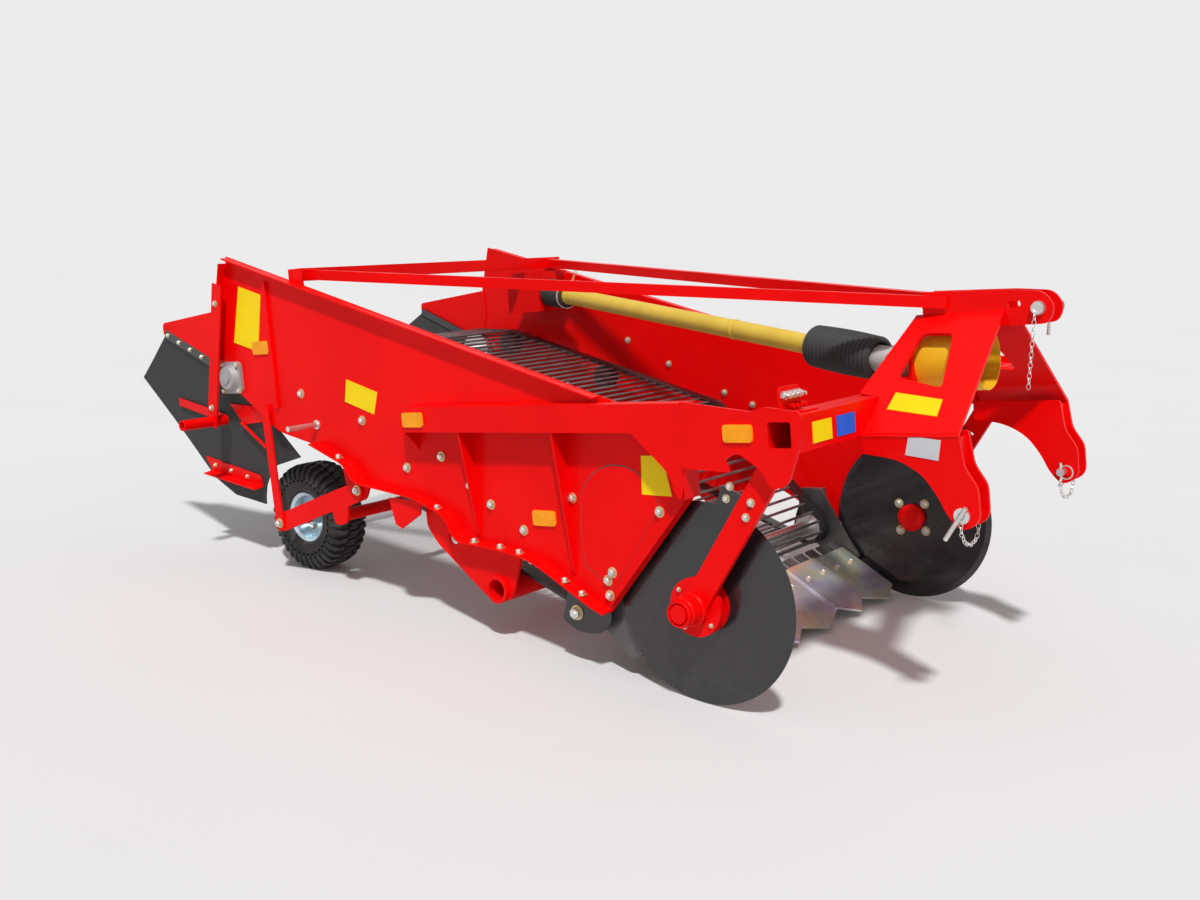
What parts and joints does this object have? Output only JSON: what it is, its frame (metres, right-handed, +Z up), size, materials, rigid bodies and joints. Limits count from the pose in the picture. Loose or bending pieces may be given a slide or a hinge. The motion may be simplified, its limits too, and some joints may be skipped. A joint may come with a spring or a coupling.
{
  "type": "potato harvester",
  "caption": "Tractor-mounted potato harvester: side discs, share blades, sloping sieve web between sheet walls, headstock, drive shaft, depth wheels and rear flaps.",
  "frame": {"origin": "on the floor at the centre of the machine's box in plan", "axes": "+X forward to the hitch, +Y to the machine's left, +Z up"},
  "size_m": [3.9804, 2, 1.3656],
  "materials": {
    "red_paint": "gloss paint on steel",
    "black_paint": "satin black paint",
    "zinc_steel": "zinc plated steel",
    "share_steel": "yellow passivated steel",
    "web_rubber": "rubber belts and steel rods",
    "black_plastic": "matt black plastic",
    "cast_grey": "cast grey",
    "flap_rubber": "rubber sheet",
    "grey_plastic": "grey plastic",
    "yellow_plastic": "yellow plastic",
    "amber": "amber reflector",
    "rim_zinc": "zinc plated rim",
    "tyre": "black tyre"
  },
  "bodies": {
    "frame": {"side_walls": "red_paint", "outer_beams": "red_paint", "front_cross_beam": "red_paint", "disc_brackets": "red_paint", "disc_arms": "red_paint", "disc_scrapers": "black_paint", "headstock_legs": "red_paint", "top_link_bracket": "red_paint", "hitch_pins": "zinc_steel", "top_struts": "red_paint", "rear_cross_bar": "red_paint", "share_blades": "share_steel", "share_beam": "red_paint", "web_nose_bend": "web_rubber", "web_front_run": "web_rubber", "web_top_run": "web_rubber", "web_rear_bend": "web_rubber", "web_return_run": "web_rubber", "web_front_roller": "zinc_steel", "web_drive_shaft": "zinc_steel", "web_support_rollers": "black_plastic", "drive_bearing": "cast_grey", "under_tube": "red_paint", "under_plates": "red_paint", "front_skids": "black_paint", "wheel_arms": "red_paint", "depth_struts": "red_paint", "wheel_arm_tube": "red_paint", "rear_posts": "red_paint", "rear_hoods": "red_paint", "swath_flaps": "flap_rubber", "flap_strips": "zinc_steel", "rear_gearbox": "red_paint", "gearbox_bracket": "red_paint", "chain_guard": "red_paint", "pto_carrier": "red_paint", "pto_sleeve": "grey_plastic", "pto_guard_tube": "yellow_plastic", "pto_bellows": "black_plastic", "pto_input_guard": "yellow_plastic", "grease_banks": "red_paint", "reflectors": "amber"},
    "right_disc": {"right_disc_blade": "black_paint", "right_disc_hub": "red_paint"},
    "left_disc": {"left_disc_blade": "black_paint", "left_disc_hub": "red_paint"},
    "right_wheel": {"right_rim": "rim_zinc", "right_tyre": "tyre"},
    "left_wheel": {"left_rim": "rim_zinc", "left_tyre": "tyre"},
    "pto_input": {"pto_input_shaft": "zinc_steel"}
  },
  "joints": [
    {"name": "right_disc_spin", "type": "hinge", "parent": "frame", "child": "right_disc", "pos_m": [1.20086, -0.772, 0.338], "axis": [0, 1, 0], "continuous": true},
    {"name": "left_disc_spin", "type": "hinge", "parent": "frame", "child": "left_disc", "pos_m": [1.20086, 0.772, 0.338], "axis": [0, 1, 0], "continuous": true},
    {"name": "right_wheel_spin", "type": "hinge", "parent": "frame", "child": "right_wheel", "pos_m": [-0.90872, -0.61, 0.2285], "axis": [0, 1, 0], "continuous": true},
    {"name": "left_wheel_spin", "type": "hinge", "parent": "frame", "child": "left_wheel", "pos_m": [-0.90872, 0.61, 0.2285], "axis": [0, 1, 0], "continuous": true},
    {"name": "pto_input_spin", "type": "hinge", "parent": "frame", "child": "pto_input", "pos_m": [1.60059, 0, 1.10616], "axis": [0.9908, 0, 0.1353], "continuous": true}
  ]
}
